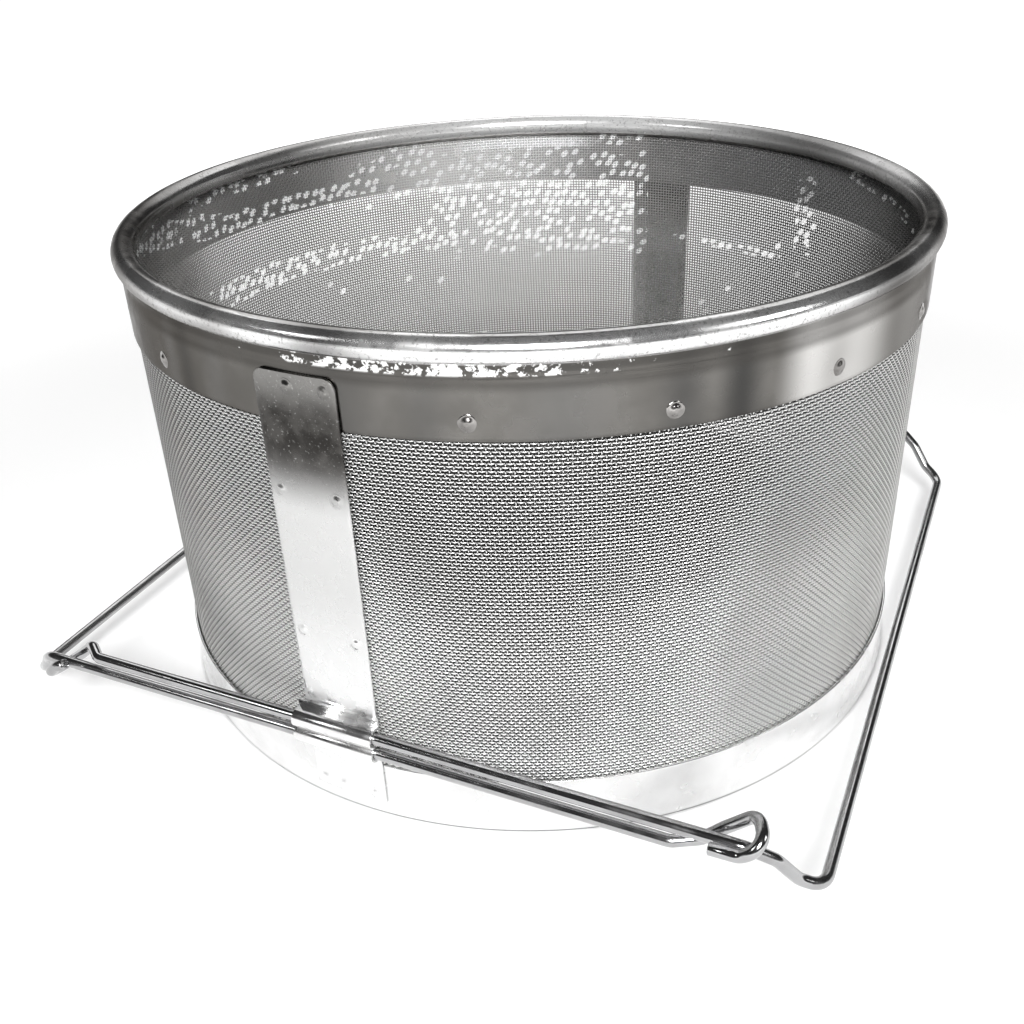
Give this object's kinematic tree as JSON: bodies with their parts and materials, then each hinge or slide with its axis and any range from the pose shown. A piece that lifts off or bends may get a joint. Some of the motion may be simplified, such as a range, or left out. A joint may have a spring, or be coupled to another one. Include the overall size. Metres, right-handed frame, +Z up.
{
  "type": "sieve",
  "caption": "Round wire sieve with a deep mesh basket between two sheet bands, held over a bowl by two sliding U-shaped wires.",
  "frame": {"origin": "centre of the basket's foot, on the surface that it stands on", "axes": "+Z up; +X along the legs of the sliding frame towards the right end bar; -Y is the front"},
  "size_m": [0.2502, 0.2558, 0.142],
  "materials": {
    "tinned_sheet": "aged tinned sheet with dull spots",
    "bright_sheet": "bright tinned sheet",
    "woven_mesh": "woven tinned wire",
    "frame_wire": "drawn wire, polished"
  },
  "bodies": {
    "basket": {"rim_wire": "tinned_sheet", "top_band": "tinned_sheet", "wall_mesh": "woven_mesh", "bottom_band": "bright_sheet", "bottom_mesh": "woven_mesh", "bottom_ring": "bright_sheet", "front_strap": "tinned_sheet", "back_strap": "tinned_sheet", "front_keeper": "bright_sheet", "back_keeper": "bright_sheet", "band_rivets": "bright_sheet", "front_strap_rivets": "bright_sheet", "back_strap_rivets": "bright_sheet"},
    "right_frame": {"right_end_bar": "frame_wire", "right_front_bend": "frame_wire", "right_back_bend": "frame_wire", "right_front_leg": "frame_wire", "right_back_leg": "frame_wire", "right_front_hook": "frame_wire", "right_back_hook": "frame_wire"},
    "left_frame": {"left_end_bar": "frame_wire", "left_front_bend": "frame_wire", "left_back_bend": "frame_wire", "left_front_leg": "frame_wire", "left_back_leg": "frame_wire", "left_front_hook": "frame_wire", "left_back_hook": "frame_wire"}
  },
  "joints": [
    {"name": "right_frame_slide", "type": "slide", "parent": "basket", "child": "right_frame", "axis": [1, 0, 0], "range_m": [0, 0.065]},
    {"name": "left_frame_slide", "type": "slide", "parent": "basket", "child": "left_frame", "axis": [-1, 0, 0], "range_m": [0, 0.065]}
  ]
}
